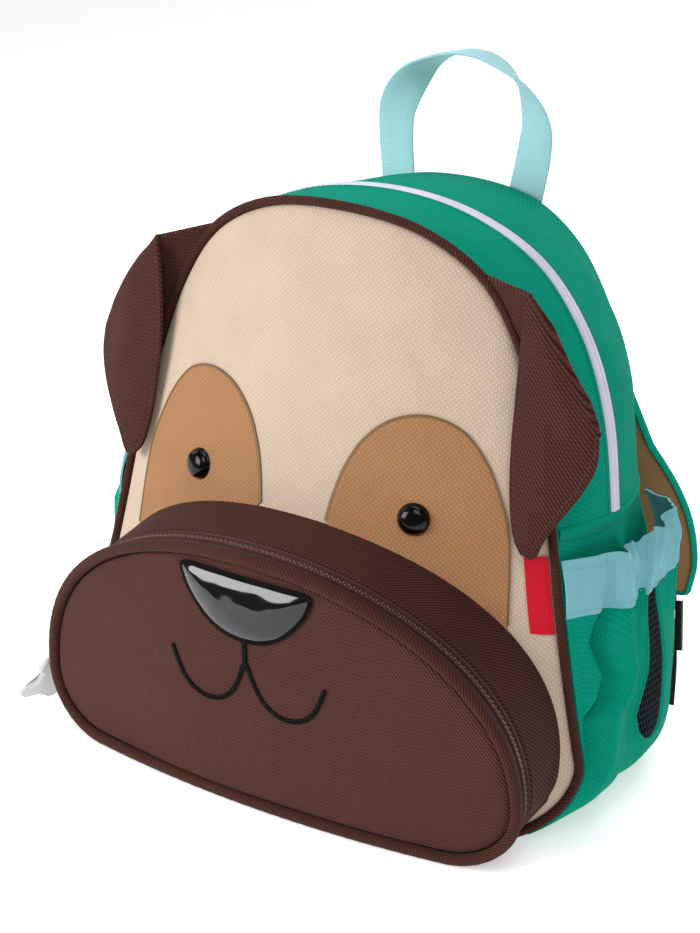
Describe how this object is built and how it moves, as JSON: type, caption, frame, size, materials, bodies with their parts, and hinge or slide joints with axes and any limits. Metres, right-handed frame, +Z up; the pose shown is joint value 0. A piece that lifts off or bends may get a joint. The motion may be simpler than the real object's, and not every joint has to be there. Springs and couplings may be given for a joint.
{
  "type": "kids animal backpack",
  "caption": "Small arch-shaped child's backpack with a floppy-eared animal face, a zipped muzzle pocket, mesh side pockets, a carry handle and padded shoulder straps",
  "frame": {"origin": "On the floor, at a point of the bag's flat foot under the middle of its width", "axes": "+X to the viewer's right from the front, the face looks along -Y and the wearer's back along +Y, +Z up"},
  "size_m": [0.3212, 0.2548, 0.3596],
  "materials": {
    "cream_cloth": "coarse plain weave, beige",
    "tan_cloth": "coarse plain weave, tan",
    "brown_cloth": "twill weave, dark brown",
    "green_cloth": "plain weave, teal green",
    "aqua_cloth": "plain weave, light aqua",
    "zip_tape": "woven tape, pale lavender",
    "black_thread": "satin stitch, black",
    "black_webbing": "ribbed webbing, black",
    "black_mesh": "open mesh, black",
    "red_ribbon": "woven ribbon, red",
    "black_gloss": "polished, black",
    "black_plastic": "moulded, matt black",
    "clear_rubber": "soft, pale and slightly see-through",
    "dark_metal": "dark lacquer"
  },
  "bodies": {
    "bag": {"front_panel": "cream_cloth", "back_panel": "green_cloth", "gusset_front": "green_cloth", "gusset_back": "green_cloth", "gusset_lower": "green_cloth", "main_zip": "zip_tape", "front_piping": "brown_cloth", "muzzle_band": "brown_cloth", "muzzle_zip": "brown_cloth", "muzzle_foot": "brown_cloth", "muzzle_face": "brown_cloth", "muzzle_piping": "brown_cloth", "eye_patch_right": "tan_cloth", "eye_patch_left": "tan_cloth", "eye_right": "black_gloss", "eye_left": "black_gloss", "nose": "black_gloss", "mouth": "black_thread", "side_tag": "red_ribbon", "ear_right": "brown_cloth", "ear_left": "brown_cloth", "carry_handle": "aqua_cloth", "shoulder_strap_right": "tan_cloth", "strap_binding_right": "green_cloth", "strap_tab_right": "black_webbing", "ladder_lock_right": "black_plastic", "strap_webbing_right": "black_webbing", "shoulder_strap_left": "tan_cloth", "strap_binding_left": "green_cloth", "strap_tab_left": "black_webbing", "ladder_lock_left": "black_plastic", "strap_webbing_left": "black_webbing", "pocket_front_right": "green_cloth", "pocket_back_right": "green_cloth", "pocket_mesh_right": "black_mesh", "pocket_hem_right": "aqua_cloth", "pocket_front_left": "green_cloth", "pocket_back_left": "green_cloth", "pocket_mesh_left": "black_mesh", "pocket_hem_left": "aqua_cloth", "muzzle_slider": "dark_metal", "main_slider": "dark_metal"},
    "muzzle_zip_pull": {"muzzle_pull": "clear_rubber"},
    "main_zip_pull": {"main_pull": "clear_rubber"}
  },
  "joints": [
    {"name": "muzzle_pull_swing", "type": "hinge", "parent": "bag", "child": "muzzle_zip_pull", "pos_m": [-0.1428, -0.04886, 0.03696], "axis": [-0.0002, -0.9953, -0.0965], "range_deg": [-90, 0]},
    {"name": "main_pull_swing", "type": "hinge", "parent": "bag", "child": "main_zip_pull", "pos_m": [-0.13629, 0.03383, 0.1757], "axis": [0.0354, -0.9994, -0.0052], "range_deg": [-90, 0]}
  ]
}
